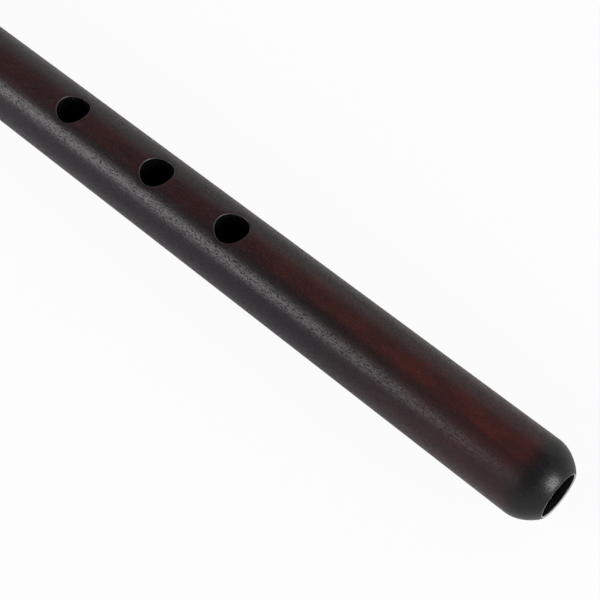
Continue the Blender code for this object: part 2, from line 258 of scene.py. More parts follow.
# The stage: each soft box's place, what it faces, and its width and height
KEY_BOX = ((-0.60, -0.77, 0.47), (-0.60, 0.0, AXIS_Z), (1.0, 0.42))
FILL_BOX = ((0.0, 0.9, 0.5), VIEW_TARGET, (1.2, 0.6))
FOOT_BOX = ((1.1, 0.1, 0.3), VIEW_TARGET, (0.42, 0.42))
WHITE = (1.0, 1.0, 1.0)
FLOOR_HALF_SIZE = 4.0
FLOOR_COLOUR = (0.9, 0.9, 0.9)
FLOOR_ROUGHNESS = 0.9
FLOOR_GLOSS = 0.1
FLOOR_GLOW = 0.93
ROOM_HEIGHTS = (0.05, 0.75)


def node(tree, kind, **settings):
    """A node with some of its settings changed."""
    made = tree.nodes.new(kind)
    for name, value in settings.items():
        setattr(made, name, value)
    return made


def feed(tree, target, source):
    """Joins a socket to a socket, or writes a plain value on it."""
    if isinstance(source, bpy.types.NodeSocket):
        tree.links.new(source, target)
    else:
        target.default_value = source


def math_node(tree, operation, *sources, clamp=False):
    made = node(tree, "ShaderNodeMath", operation=operation, use_clamp=clamp)
    for target, source in zip(made.inputs, sources):
        feed(tree, target, source)
    return made.outputs[0]


def times(tree, first, second):
    return math_node(tree, "MULTIPLY", first, second)


def mix_colour(tree, factor, first, second):
    made = node(tree, "ShaderNodeMix", data_type="RGBA")
    for name, source in (("Factor_Float", factor), ("A_Color", first), ("B_Color", second)):
        feed(tree, [i for i in made.inputs if i.identifier == name][0], source)
    return [o for o in made.outputs if o.identifier == "Result_Color"][0]


def map_range(tree, source, low, high, to_low=0.0, to_high=1.0, smooth=True):
    made = node(tree, "ShaderNodeMapRange", interpolation_type="SMOOTHSTEP" if smooth else "LINEAR")
    values = (source, low, high, to_low, to_high)
    for name, value in zip(("Value", "From Min", "From Max", "To Min", "To Max"), values):
        feed(tree, made.inputs[name], value)
    return made.outputs["Result"]


def noise(tree, vector, scale=1.0, detail=3.0, roughness=0.55, distortion=0.0):
    made = node(tree, "ShaderNodeTexNoise")
    feed(tree, made.inputs["Vector"], vector)
    values = (scale, detail, roughness, distortion)
    for name, value in zip(("Scale", "Detail", "Roughness", "Distortion"), values):
        feed(tree, made.inputs[name], value)
    return made.outputs["Fac"]


def stretched(tree, vector, scale):
    made = node(tree, "ShaderNodeMapping")
    feed(tree, made.inputs["Vector"], vector)
    made.inputs["Scale"].default_value = scale
    return made.outputs["Vector"]


def rgba(colour):
    return (colour[0], colour[1], colour[2], 1.0)


def layer(tree, body, colour, mask, share=1.0):
    """The body's colour with another laid over it where a mask is 1, in full or by a share."""
    if share < 1.0:
        mask = times(tree, mask, share)
    return mix_colour(tree, mask, body, rgba(colour))


def new_group(name, inputs, outputs):
    """An empty node group with float, vector or colour sockets."""
    kinds = {"float": "NodeSocketFloat", "vector": "NodeSocketVector", "colour": "NodeSocketColor"}
    tree = bpy.data.node_groups.new(name, "ShaderNodeTree")
    for label, kind, default in inputs:
        socket = tree.interface.new_socket(label, in_out="INPUT", socket_type=kinds[kind])
        if default is not None:
            socket.default_value = default
    for label, kind in outputs:
        tree.interface.new_socket(label, in_out="OUTPUT", socket_type=kinds[kind])
    return tree, tree.nodes.new("NodeGroupInput"), tree.nodes.new("NodeGroupOutput")


def placed(tree, group, **values):
    """One use of a node group, with its own values. Underscores stand for the spaces in its labels."""
    made = tree.nodes.new("ShaderNodeGroup")
    made.node_tree = group
    for label, value in values.items():
        feed(tree, made.inputs[label.replace("_", " ")], value)
    return made


def group_named(name, build):
    """The node group of that name, built at its first use."""
    found = bpy.data.node_groups.get(name)
    return found or build(name)


def build_round_place(name):
    """Along, angle and radius of a point on a thing turned about an axis parallel to X."""
    inputs = [("Vector", "vector", None), ("Axis Height", "float", 0.0)]
    outputs = [("Along", "float"), ("Angle", "float"), ("Radius", "float")]
    tree, start, end = new_group(name, inputs, outputs)
    parts = node(tree, "ShaderNodeSeparateXYZ")
    tree.links.new(start.outputs["Vector"], parts.inputs[0])
    height = math_node(tree, "SUBTRACT", parts.outputs["Z"], start.outputs["Axis Height"])
    angle = math_node(tree, "ARCTAN2", parts.outputs["Y"], height)
    across = math_node(tree, "POWER", parts.outputs["Y"], 2.0)
    square = math_node(tree, "ADD", across, math_node(tree, "POWER", height, 2.0))
    tree.links.new(parts.outputs["X"], end.inputs["Along"])
    tree.links.new(angle, end.inputs["Angle"])
    tree.links.new(math_node(tree, "SQRT", square), end.inputs["Radius"])
    return tree


def drawn_out(tree, start):
    """A group's vector, scaled so that its noise has the wanted width, and that many widths along X."""
    scale = node(tree, "ShaderNodeCombineXYZ")
    across = math_node(tree, "DIVIDE", 1.0, start.outputs["Width"])
    along = math_node(tree, "DIVIDE", across, start.outputs["Length"])
    for target, source in zip(scale.inputs, (along, across, across)):
        tree.links.new(source, target)
    place = node(tree, "ShaderNodeVectorMath", operation="MULTIPLY")
    tree.links.new(start.outputs["Vector"], place.inputs[0])
    tree.links.new(scale.outputs[0], place.inputs[1])
    return place.outputs[0]


def build_grain(name):
    """Long fibres that run along X, as a value from 0 to 1."""
    inputs = [("Vector", "vector", None), ("Width", "float", 1.0), ("Length", "float", 20.0)]
    inputs.append(("Contrast", "float", 1.0))
    tree, start, end = new_group(name, inputs, [("Fibre", "float")])
    fibre = noise(tree, drawn_out(tree, start), detail=4.0, roughness=0.6, distortion=0.3)
    centred = math_node(tree, "SUBTRACT", fibre, 0.5)
    spread = math_node(tree, "MULTIPLY_ADD", centred, start.outputs["Contrast"], 0.5, clamp=True)
    tree.links.new(spread, end.inputs["Fibre"])
    return tree


def build_pores(name):
    """Short open pores drawn out along X: 1 in a pore and 0 between them."""
    inputs = [("Vector", "vector", None), ("Width", "float", 1.0), ("Length", "float", 8.0)]
    inputs.append(("Share", "float", 0.3))
    tree, start, end = new_group(name, inputs, [("Pore", "float")])
    value = noise(tree, drawn_out(tree, start), detail=1.0, roughness=0.5)
    low = math_node(tree, "SUBTRACT", PORE_LEVEL, start.outputs["Share"])
    high = math_node(tree, "ADD", low, PORE_SOFTNESS)
    tree.links.new(map_range(tree, value, low, high), end.inputs["Pore"])
    return tree


def grain(tree, place, **values):
    return placed(tree, group_named("Duduk grain", build_grain), Vector=place, **values).outputs[0]


def pores(tree, place, **values):
    return placed(tree, group_named("Duduk pores", build_pores), Vector=place, **values).outputs[0]


def new_material(name):
    made = bpy.data.materials.new(name)
    made.use_nodes = True
    tree = made.node_tree
    return made, tree, tree.nodes["Principled BSDF"]


def object_place(tree):
    return node(tree, "ShaderNodeTexCoord").outputs["Object"]


def bump(tree, height, distance):
    made = node(tree, "ShaderNodeBump")
    made.inputs["Distance"].default_value = distance
    feed(tree, made.inputs["Height"], height)
    return made.outputs["Normal"]


def red_figure(tree, along, angle, broad):
    """Where the red wood shows, a band along the top that wanders with the grain, and the angle from it."""
    wander = math_node(tree, "MULTIPLY_ADD", broad, BAND_WANDER, -BAND_WANDER / 2)
    off_top = math_node(tree, "ABSOLUTE", math_node(tree, "ADD", angle, wander))
    band = times(tree, map_range(tree, off_top, *RED_BAND), map_range(tree, along, *RED_TOWARDS_FOOT))
    return math_node(tree, "MAXIMUM", band, map_range(tree, along, *WARM_END)), off_top


def cross_ripples(tree, place, along, off_top):
    """Fine lines across the grain, which bow back on the sides, drift, and fade in patches."""
    bow = times(tree, math_node(tree, "POWER", off_top, 2.0), RIPPLE_BOW)
    drift = times(tree, noise(tree, place, RIPPLE_DRIFT_SCALE, detail=1.0), RIPPLE_DRIFT)
    bowed = math_node(tree, "ADD", along, math_node(tree, "ADD", bow, drift))
    wave = math_node(tree, "SINE", times(tree, bowed, 2 * math.pi / RIPPLE_SPACING))
    patchy = noise(tree, stretched(tree, place, RIPPLE_PATCH_SCALE), detail=2.0)
    return times(tree, map_range(tree, wave, *RIPPLE_CREST), map_range(tree, patchy, *RIPPLE_PATCHES))


def hole_highlight_and_shade_masks(tree, along, radius):
    """The painted highlight on the worn rims of the holes and the painted shade on the walls inside them,
    told by how far they are from the axis.
    """
    past_grooves = math_node(tree, "GREATER_THAN", along, HOLES_FROM)
    before_dome = math_node(tree, "LESS_THAN", along, HOLES_TO)
    pierced = times(tree, past_grooves, before_dome)
    rim = times(tree, pierced, map_range(tree, radius, *RIM_HIGHLIGHT_RADII))
    wall = times(tree, pierced, map_range(tree, radius, *SHADED_WALL_RADII))
    return rim, wall


def dark_wood_material(look):
    """Nearly black stained wood: a red figure along the top, fine ripples across it, and open pores."""
    made, tree, shader = new_material("dark stained wood")
    place = object_place(tree)
    round_group = group_named("Duduk round place", build_round_place)
    round_place = placed(tree, round_group, Vector=place, Axis_Height=AXIS_Z)
    along, angle, radius = (round_place.outputs[name] for name in ("Along", "Angle", "Radius"))
    broad = grain(tree, place, **BROAD_FIBRES)
    fine = grain(tree, place, **FINE_FIBRES)
    pore = pores(tree, place, **WOOD_PORES)
    red, off_top = red_figure(tree, along, angle, broad)
    rim, wall = hole_highlight_and_shade_masks(tree, along, radius)
    # Painted highlight: a pale line round the edge of the foot's mouth
    at_end = math_node(tree, "GREATER_THAN", along, MOUTH_HIGHLIGHT_FROM)
    mouth = times(tree, at_end, math_node(tree, "LESS_THAN", radius, MOUTH_HIGHLIGHT_RADIUS))

    body = mix_colour(tree, broad, rgba(look.dark), rgba(look.brown))
    # Painted reflection: a plum tint along the near side
    body = layer(tree, body, look.near_side_reflection, map_range(tree, angle, *NEAR_REFLECTION_SIDE))
    # Painted light: a lighter brown tint along the far side
    body = layer(tree, body, look.tan, map_range(tree, angle, *FAR_LIGHT_SIDE))
    body = layer(tree, body, look.red, red, RED_SHARE)
    body = layer(tree, body, look.fleck, times(tree, cross_ripples(tree, place, along, off_top), red))
    body = layer(tree, body, look.dark, fine, FINE_SHARE)
    body = layer(tree, body, look.ink, map_range(tree, along, *INK_END))
    body = layer(tree, body, look.pore, pore, PORE_SHARE)
    # Painted highlight on the worn rounded rims of the holes
    body = layer(tree, body, look.rim, rim, RIM_HIGHLIGHT_SHARE)
    # Painted shade: the walls inside the holes turn as dark as the pores
    body = layer(tree, body, look.pore, wall)
    body = layer(tree, body, look.mouth, mouth, MOUTH_HIGHLIGHT_SHARE)
    tree.links.new(body, shader.inputs["Base Color"])

    rough = math_node(tree, "MULTIPLY_ADD", fine, FIBRE_ROUGHNESS, look.roughness - FIBRE_ROUGHNESS / 2)
    rough = math_node(tree, "MULTIPLY_ADD", pore, PORE_ROUGHNESS, rough, clamp=True)
    tree.links.new(rough, shader.inputs["Roughness"])
    relief = math_node(tree, "SUBTRACT", times(tree, fine, FIBRE_HEIGHT), pore)
    tree.links.new(bump(tree, relief, WOOD_RELIEF), shader.inputs["Normal"])
    shader.inputs["IOR"].default_value = WOOD_IOR
    shader.inputs["Specular IOR Level"].default_value = WOOD_GLOSS
    return made


def grained_material(name, look, wide, narrow, pore_share, roughness):
    """Plain wood or cane: broad and fine fibres along X between two colours, with a few dark pores.

    Its colour and roughness are returned too, for a material that goes on from them."""
    made, tree, shader = new_material(name)
    place = object_place(tree)
    broad = grain(tree, place, Width=wide, Length=14.0, Contrast=2.0)
    fine = grain(tree, place, Width=narrow, Length=30.0, Contrast=2.2)
    pore = pores(tree, place, Width=narrow, Length=9.0, Share=pore_share)
    body = mix_colour(tree, broad, rgba(look.pale), rgba(look.deep))
    body = layer(tree, body, look.deep, fine, PLAIN_FINE_SHARE)
    body = layer(tree, body, look.line, pore, PLAIN_PORE_SHARE)
    height = math_node(tree, "SUBTRACT", times(tree, fine, PLAIN_FIBRE_HEIGHT), pore)
    tree.links.new(bump(tree, height, PLAIN_RELIEF), shader.inputs["Normal"])
    rough = math_node(tree, "MULTIPLY_ADD", fine, PLAIN_FIBRE_ROUGHNESS, roughness)
    tree.links.new(rough, shader.inputs["Roughness"])
    tree.links.new(body, shader.inputs["Base Color"])
    return made, tree, shader, place, body, rough


def reed_material(look):
    """Cane: glossy bark round the base, and scraped, fibrous blades that darken at their lips."""
    made, tree, shader, place, body, rough = grained_material("scraped cane", look, **SCRAPED_CANE)
    parts = node(tree, "ShaderNodeSeparateXYZ")
    tree.links.new(place, parts.inputs[0])
    waver = noise(tree, stretched(tree, place, SCRAPE_WAVER_SCALE), detail=3.0)
    along = math_node(tree, "MULTIPLY_ADD", waver, SCRAPE_WAVER, parts.outputs["X"])
    scrape = REED_BASE_X - BARK_FROM_BASE
    bark = map_range(tree, along, scrape, scrape + SCRAPE_EDGE)
    lips = map_range(tree, along, *LIP_STAIN)
    body = layer(tree, body, look.bark, bark, BARK_SHARE)
    body = layer(tree, body, look.deep, lips, LIP_SHARE)
    tree.links.new(body, shader.inputs["Base Color"])
    tree.links.new(math_node(tree, "MULTIPLY_ADD", bark, BARK_GLOSS, rough), shader.inputs["Roughness"])
    return made


def thread_material(look):
    """Waxed thread: fine slanting fibres and darker hollows where the wax is thin."""
    made, tree, shader = new_material("waxed thread")
    place = object_place(tree)
    fibre_place = stretched(tree, place, THREAD_FIBRE_SCALE)
    fibre = noise(tree, fibre_place, detail=3.0, roughness=0.6, distortion=0.8)
    patch = noise(tree, place, THREAD_PATCH_SCALE, detail=2.0)
    edge = map_range(tree, fibre, *THREAD_FIBRE_EDGE)
    body = mix_colour(tree, edge, rgba(look.thread_deep), rgba(look.thread))
    body = layer(tree, body, look.thread_deep, map_range(tree, patch, *THREAD_HOLLOWS))
    tree.links.new(body, shader.inputs["Base Color"])
    tree.links.new(map_range(tree, patch, *THREAD_ROUGHNESS), shader.inputs["Roughness"])
    tree.links.new(bump(tree, fibre, THREAD_RELIEF), shader.inputs["Normal"])
    return made


def quarter_turn(steps, first=1):
    """The angles of a quarter turn in equal steps, from the given step to the right angle."""
    return [math.pi / 2 * step / steps for step in range(first, steps + 1)]


def on_pipe(x, y, side, radius, drop=0.0):
    """A point above or below the axis on a round surface, sunk towards the axis by a drop."""
    height = math.sqrt(max(radius * radius - y * y, 0.0)) - drop
    return Vector((x, y, AXIS_Z + side * height))


def ring(mesh, x, radius):
    """One row of the grid, from the top towards +Y."""
    row = []
    for column in range(COLUMNS):
        angle = 2 * math.pi * column / COLUMNS
        row.append(mesh.verts.new((x, radius * math.sin(angle), AXIS_Z + radius * math.cos(angle))))
    return row


def window_of(hole, reach):
    """The rows that a hole's window takes, as places along X."""
    return [hole["x"] - reach + 2 * reach * row / WINDOW_ROWS for row in range(WINDOW_ROWS + 1)]


def filled_in(places, spacing):
    """The places in order, with more between them where they lie far apart."""
    places = sorted(places)
    full = [places[0]]
    for place in places[1:]:
        steps = max(1, math.ceil((place - full[-1]) / spacing - 1e-6))
        start = full[-1]
        full += [start + (place - start) * step / steps for step in range(1, steps + 1)]
    return full


def window_edge(rows, first, side):
    """The grid's points round a window, from its -X, -Y corner towards +Y and then on round it."""
    middle = 0 if side > 0 else COLUMNS // 2
    span = range(-WINDOW_COLUMNS, WINDOW_COLUMNS + 1)
    columns = [(middle + side * step) % COLUMNS for step in span]
    last = first + WINDOW_ROWS
    edge = [rows[first][column] for column in columns]
    edge += [rows[row][columns[-1]] for row in range(first + 1, last)]
    edge += [rows[last][column] for column in reversed(columns)]
    edge += [rows[row][columns[0]] for row in range(last - 1, first, -1)]
    return edge


def join_rings(mesh, first, second):
    """A closed band of faces between two rings with as many points."""
    count = len(first)
    for i in range(count):
        j = (i + 1) % count
        mesh.faces.new((first[i], first[j], second[j], second[i]))


def join_in_order(mesh, rings):
    for first, second in zip(rings, rings[1:]):
        join_rings(mesh, first, second)


def ring_round_hole(mesh, edge, hole, radius, distance, share=1.0, drop=0.0):
    """A ring between a window's edge, at share 0, and a circle at a distance from the hole's axis."""
    row = []
    for vertex in edge:
        dx, dy = vertex.co.x - hole["x"], vertex.co.y
        far = math.hypot(dx, dy)
        reach = distance * share + far * (1 - share)
        place = on_pipe(hole["x"] + dx / far * reach, dy / far * reach, hole["side"], radius, drop)
        row.append(mesh.verts.new(place))
    return row


def patch_rings(mesh, edge, hole, radius, profile):
    """Rings from a window's edge in to a hole. The profile lists distances from its axis, with drops."""
    start = profile[0][0]
    rings = [edge]
    for step in range(1, PATCH_RINGS):
        share = (step / PATCH_RINGS) ** PATCH_CROWDING
        rings.append(ring_round_hole(mesh, edge, hole, radius, start, share))
    for distance, drop in profile:
        rings.append(ring_round_hole(mesh, edge, hole, radius, distance, drop=drop))
    join_in_order(mesh, rings)
    return rings[-1]


def lip_profile(radius, edge_round, dish, dish_width):
    """A hole's edge: a faint dish rubbed into the wood round it, then a small round down into the hole."""
    rim = radius + edge_round
    profile = []
    for step in range(DISH_STEPS + 1):
        share = step / DISH_STEPS
        profile.append((rim + dish_width * (1 - share), dish * share * share * (3 - 2 * share)))
    for angle in quarter_turn(LIP_STEPS):
        profile.append((rim - edge_round * math.sin(angle), dish + edge_round * (1 - math.cos(angle))))
    return profile


def foot_rows():
    """The rounded foot: rows (x, radius) from the straight pipe to the edge of the mouth."""
    rows = []
    for angle in quarter_turn(DOME_STEPS):
        along = math.sin(angle) ** (2 / FOOT_ROUNDNESS_ALONG)
        across = max(math.cos(angle), 0.0) ** (2 / FOOT_ROUNDNESS_ACROSS)
        x = FOOT_X - FOOT_DOME_LENGTH * (1 - along)
        rows.append((x, FOOT_LIP_RADIUS + (PIPE_RADIUS - FOOT_LIP_RADIUS) * across))
    for angle in quarter_turn(MOUTH_STEPS):
        x = FOOT_X - FOOT_EDGE * (1 - math.cos(angle))
        rows.append((x, BORE_RADIUS + FOOT_EDGE * (1 - math.sin(angle))))
    return rows


def head_rows():
    """The swelled head: rows from the straight pipe to the edge of its end face."""
    belt_start = HEAD_BELT_FROM_END + HEAD_BELT_LENGTH
    rows = []
    for step in range(1, SWELL_STEPS + 1):
        share = step / SWELL_STEPS
        swell = (1 - math.cos(math.pi * share)) / 2
        place = HEAD_LENGTH + (belt_start - HEAD_LENGTH) * share
        rows.append((HEAD_X + place, PIPE_RADIUS + (HEAD_RADIUS - PIPE_RADIUS) * swell))
    for angle in quarter_turn(SWELL_STEPS, first=0):
        place = HEAD_BELT_FROM_END + (HEAD_EDGE_ROUND - HEAD_BELT_FROM_END) * math.sin(angle)
        rows.append((HEAD_X + place, HEAD_END_RADIUS + (HEAD_RADIUS - HEAD_END_RADIUS) * math.cos(angle)))
    for angle in quarter_turn(HEAD_EDGE_STEPS):
        place = HEAD_EDGE_ROUND * (1 - math.sin(angle))
        rows.append((HEAD_X + place, HEAD_END_RADIUS - HEAD_EDGE_ROUND * (1 - math.cos(angle))))
    return rows


def groove_rows(place):
    """A V groove with soft shoulders, from the foot's side."""
    half = GROOVE_WIDTH / 2
    return [(HEAD_X + place + half * x, PIPE_RADIUS - GROOVE_DEPTH * depth) for x, depth in GROOVE_SHAPE]


def grid_faces(mesh, rows, windows):
    """Faces between rows of the grid, leaving the windows open."""
    free = set()
    for first, side in windows:
        middle = 0 if side > 0 else COLUMNS // 2
        for row in range(first, first + WINDOW_ROWS):
            for step in range(-WINDOW_COLUMNS, WINDOW_COLUMNS):
                free.add((row, (middle + step) % COLUMNS))
    for row, (first, second) in enumerate(zip(rows, rows[1:])):
        for column in range(COLUMNS):
            if (row, column) not in free:
                following = (column + 1) % COLUMNS
                mesh.faces.new((first[column], first[following], second[following], second[column]))


def wall_rows(mesh, holes, start, end, reach, radius):
    """The straight wall's rows of points, and where each hole's window begins among them."""
    places = [start, end]
    for hole in holes:
        places += window_of(hole, reach)
    places = filled_in(places, ROW_SPACING)
    rows = [ring(mesh, x, radius) for x in places]
    windows = []
    for hole in holes:
        first = min(range(len(places)), key=lambda i: abs(places[i] - (hole["x"] - reach)))
        windows.append(first)
    return rows, windows


def drop_loose(mesh):
    loose = [vertex for vertex in mesh.verts if not vertex.link_faces]
    bmesh.ops.delete(mesh, geom=loose, context="VERTS")


def mesh_data(mesh, name):
    """The finished mesh, with its faces turned outwards."""
    bmesh.ops.recalc_face_normals(mesh, faces=mesh.faces)
    data = bpy.data.meshes.new(name)
    mesh.to_mesh(data)
    mesh.free()
    return data


def bore_hole(mesh, hole, outer_edge, inner_edge, look):
    """One finger hole or the thumb hole: its patches on both walls, and the shaft between them."""
    radius = hole["radius"]
    profile = lip_profile(radius, look.hole_edge, look.hole_dish, look.hole_dish_width)
    widened, sunk = BORE_HOLE_EDGE
    top = patch_rings(mesh, outer_edge, hole, PIPE_RADIUS, profile)
    bottom = patch_rings(mesh, inner_edge, hole, BORE_RADIUS, [(radius + widened, 0.0), (radius, -sunk)])
    rings = [top]
    for step in range(1, SHAFT_STEPS):
        share = step / SHAFT_STEPS
        rings.append([mesh.verts.new(above.co.lerp(below.co, share)) for above, below in zip(top, bottom)])
    join_in_order(mesh, rings + [bottom])


def build_pipe(look):
    """The whole pipe as one closed mesh: grids outside and in the bore, and a patch at each hole."""
    mesh = bmesh.new()
    holes = [{"x": x, "side": 1, "radius": FINGER_HOLE_RADIUS} for x in FINGER_HOLE_X]
    holes.append({"x": THUMB_HOLE_X, "side": -1, "radius": THUMB_HOLE_RADIUS})
    pipe_start = HEAD_X + HEAD_LENGTH
    pipe_end = FOOT_X - FOOT_DOME_LENGTH
    mouth = FOOT_X - FOOT_EDGE
    socket_end = HEAD_X + SOCKET_DEPTH
    grooves_end = HEAD_X + max(GROOVE_PLACES) + GROOVE_WIDTH
    outer, outer_windows = wall_rows(mesh, holes, grooves_end, pipe_end, OUTER_WINDOW, PIPE_RADIUS)
    inner, inner_windows = wall_rows(mesh, holes, socket_end, mouth, INNER_WINDOW, BORE_RADIUS)
    foot = [ring(mesh, x, radius) for x, radius in foot_rows()][:-1]
    grooves = [row for place in sorted(GROOVE_PLACES, reverse=True) for row in groove_rows(place)]
    head = [ring(mesh, x, radius) for x, radius in grooves + [(pipe_start, PIPE_RADIUS)] + head_rows()]
    socket = [(HEAD_X, SOCKET_RADIUS + SOCKET_EDGE), (HEAD_X + SOCKET_EDGE, SOCKET_RADIUS)]
    socket = [ring(mesh, x, radius) for x, radius in socket + [(socket_end, SOCKET_RADIUS)]]
    grid_faces(mesh, outer, [(first, hole["side"]) for first, hole in zip(outer_windows, holes)])
    grid_faces(mesh, inner, [(first, hole["side"]) for first, hole in zip(inner_windows, holes)])
    grid_faces(mesh, [outer[-1]] + foot + [inner[-1]], [])
    grid_faces(mesh, [inner[0]] + socket[::-1] + head[::-1] + [outer[0]], [])
    for hole, outer_first, inner_first in zip(holes, outer_windows, inner_windows):
        outer_edge = window_edge(outer, outer_first, hole["side"])
        inner_edge = window_edge(inner, inner_first, hole["side"])
        bore_hole(mesh, hole, outer_edge, inner_edge, look)
    drop_loose(mesh)
    return mesh_data(mesh, "turned_body")


def smooth(data):
    data.shade_smooth()
    data.set_sharp_from_angle(angle=SMOOTH_BELOW_ANGLE)


def add_piece(name, data, surface, body, replaced):
    """Puts a finished piece in the scene, on its body and in place of its frame nodes."""
    piece = bpy.data.objects.new(name, data)
    bpy.context.scene.collection.objects.link(piece)
    piece.data.materials.append(surface)
    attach(piece, body)
    if replaced:
        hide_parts(*replaced)
    return piece


def reed_section(mesh, place, inset):
    """One oval ring of the reed, a given way from its base, drawn in by an inset."""
    share = min(max((place - REED_ROUND_LENGTH) / (REED_LENGTH - REED_ROUND_LENGTH), 0.0), 1.0)
    spread = 1 - (1 - share) ** REED_SPREAD
    flattening = 1 - (1 - share) ** REED_FLATTENING
    half_width = REED_BASE_RADIUS + (REED_LIP_HALF_WIDTH - REED_BASE_RADIUS) * spread - inset
    half_height = REED_BASE_RADIUS + (REED_LIP_HALF_HEIGHT - REED_BASE_RADIUS) * flattening - inset
    row = []
    for side in range(REED_SIDES):
        angle = 2 * math.pi * side / REED_SIDES
        y = half_width * math.cos(angle)
        z = AXIS_Z + half_height * math.sin(angle)
        row.append(mesh.verts.new((REED_BASE_X - place, y, z)))
    return row


def build_reed():
    """The cane tube, pressed flat into two blades and open from end to end.

    Its lips have a rounded edge, and its base has a shallow V groove in its end face."""
    mesh = bmesh.new()
    outside = []
    for angle in quarter_turn(REED_EDGE_STEPS, first=0):
        inward = REED_EDGE * (1 - math.sin(angle))
        outside.append(reed_section(mesh, inward, inward))
    for step in range(1, REED_ROWS):
        place = REED_EDGE + (REED_LENGTH - 2 * REED_EDGE) * step / REED_ROWS
        outside.append(reed_section(mesh, place, 0.0))
    for angle in quarter_turn(REED_EDGE_STEPS, first=0):
        place = REED_LENGTH - REED_EDGE * (1 - math.sin(angle))
        outside.append(reed_section(mesh, place, REED_EDGE * (1 - math.cos(angle))))
    inside = []
    for step in range(REED_ROWS + 1):
        share = step / REED_ROWS
        wall = REED_BASE_WALL + (REED_LIP_WALL - REED_BASE_WALL) * share
        inside.append(reed_section(mesh, REED_LENGTH * share, wall))
    join_in_order(mesh, outside + inside[::-1] + outside[:1])
    return mesh_data(mesh, "cane_reed")


def build_thread(name, points, diameter):
    """A round thread along points, with its two ends closed."""
    mesh = bmesh.new()
    rings = []
    across = Vector((1.0, 0.0, 0.0))
    for i, point in enumerate(points):
        ahead = (points[min(i + 1, len(points) - 1)] - points[max(i - 1, 0)]).normalized()
        side = (across - ahead * across.dot(ahead)).normalized()
        other = ahead.cross(side)
        row = []
        for step in range(THREAD_SIDES):
            angle = 2 * math.pi * step / THREAD_SIDES
            offset = side * math.cos(angle) + other * math.sin(angle)
            row.append(mesh.verts.new(point + offset * diameter / 2))
        rings.append(row)
    join_in_order(mesh, rings)
    mesh.faces.new(rings[0][::-1])
    mesh.faces.new(rings[-1])
    return mesh_data(mesh, name)


def winding_points():
    """The thread's helix along the reed's base, between the ends that the frame gives."""
    low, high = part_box("reed_winding")
    start = high[0] - WINDING_THREAD / 2
    end = low[0] + WINDING_THREAD / 2
    radius = REED_BASE_RADIUS + WINDING_THREAD / 2 + WINDING_CLEARANCE
    count = WINDING_TURNS * TURN_POINTS
    points = []
    for step in range(count + 1):
        angle = 2 * math.pi * step / TURN_POINTS
        x = start + (end - start) * step / count
        points.append(Vector((x, radius * math.cos(angle), AXIS_Z + radius * math.sin(angle))))
    return points


def tie_points(name):
    """Turns round the slats' ends with rounded corners, between the faces that the frame gives."""
    low, high = (Vector(corner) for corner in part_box(name))
    middle = (low + high) / 2
    half = (high - low) / 2 - Vector((TIE_THREAD, TIE_THREAD, TIE_THREAD)) / 2
    corner = TIE_THREAD * TIE_CORNER
    loop = []
    for quarter in range(4):
        centre_x = (half.x - corner) * (1 if quarter in (0, 3) else -1)
        centre_z = (half.z - corner) * (1 if quarter in (0, 1) else -1)
        for step in range(TIE_CORNER_STEPS + 1):
            angle = math.pi / 2 * (quarter + step / TIE_CORNER_STEPS)
            loop.append((centre_x + corner * math.cos(angle), centre_z + corner * math.sin(angle)))
    count = TIE_TURNS * len(loop)
    points = []
    for step in range(count + 1):
        x, z = loop[step % len(loop)]
        y = middle.y + half.y * (2 * step / count - 1)
        points.append(Vector((middle.x + x, y, middle.z + z)))
    return points


def slat_arch(half_width, half_height, floor):
    """The part of an oval above a floor, from -Y to +Y."""
    end = math.asin(floor / half_height)
    points = []
    for step in range(SLAT_STEPS + 1):
        angle = math.pi - end - (math.pi - 2 * end) * step / SLAT_STEPS
        points.append((half_width * math.cos(angle), half_height * math.sin(angle)))
    return points


def build_slat(name, side):
    """One bent slat: an arch over the reed with a flat end on each side, cut from the frame's own size."""
    low, high = (Vector(corner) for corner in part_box(name))
    reach = high.y
    top = high.z - AXIS_Z if side > 0 else AXIS_Z - low.z
    seam = low.z - AXIS_Z if side > 0 else AXIS_Z - high.z
    half_width = reach - SLAT_THICKNESS - SLAT_END_LENGTH
    half_height = top - SLAT_THICKNESS
    inner = slat_arch(half_width, half_height, seam)
    outer = slat_arch(half_width + SLAT_THICKNESS, top, seam + SLAT_THICKNESS)
    ledge = seam + SLAT_THICKNESS
    outline = [(-reach, seam)] + inner + [(reach, seam), (reach, ledge)] + outer[::-1] + [(-reach, ledge)]
    mesh = bmesh.new()
    rings = []
    for x in (low.x, high.x):
        rings.append([mesh.verts.new((x, y, AXIS_Z + side * z)) for y, z in outline])
    join_rings(mesh, rings[0], rings[1])
    mesh.faces.new(rings[0])
    mesh.faces.new(rings[1][::-1])
    return mesh_data(mesh, "cane_" + name)


def round_edges(piece, width):
    bevel = piece.modifiers.new("worn edges", "BEVEL")
    bevel.width = width
    bevel.segments = BEVEL_SEGMENTS
    bevel.limit_method = "ANGLE"
    bevel.angle_limit = BEVEL_FROM_ANGLE
    bevel.harden_normals = True


def dress(name, surface):
    """Gives a frame node a finish of its own."""
    piece = frame["nodes"][name]
    if not piece.material_slots:
        piece.data.materials.append(surface)
    for slot in piece.material_slots:
        slot.material = surface


def colour_property(name, description, colour):
    return FloatVectorProperty(name=name, description=description, subtype="COLOR", default=colour)


def length_property(name, description, length):
    return FloatProperty(name=name, description=description, unit="LENGTH", default=length)


def number_property(name, description, value):
    return FloatProperty(name=name, description=description, default=value)


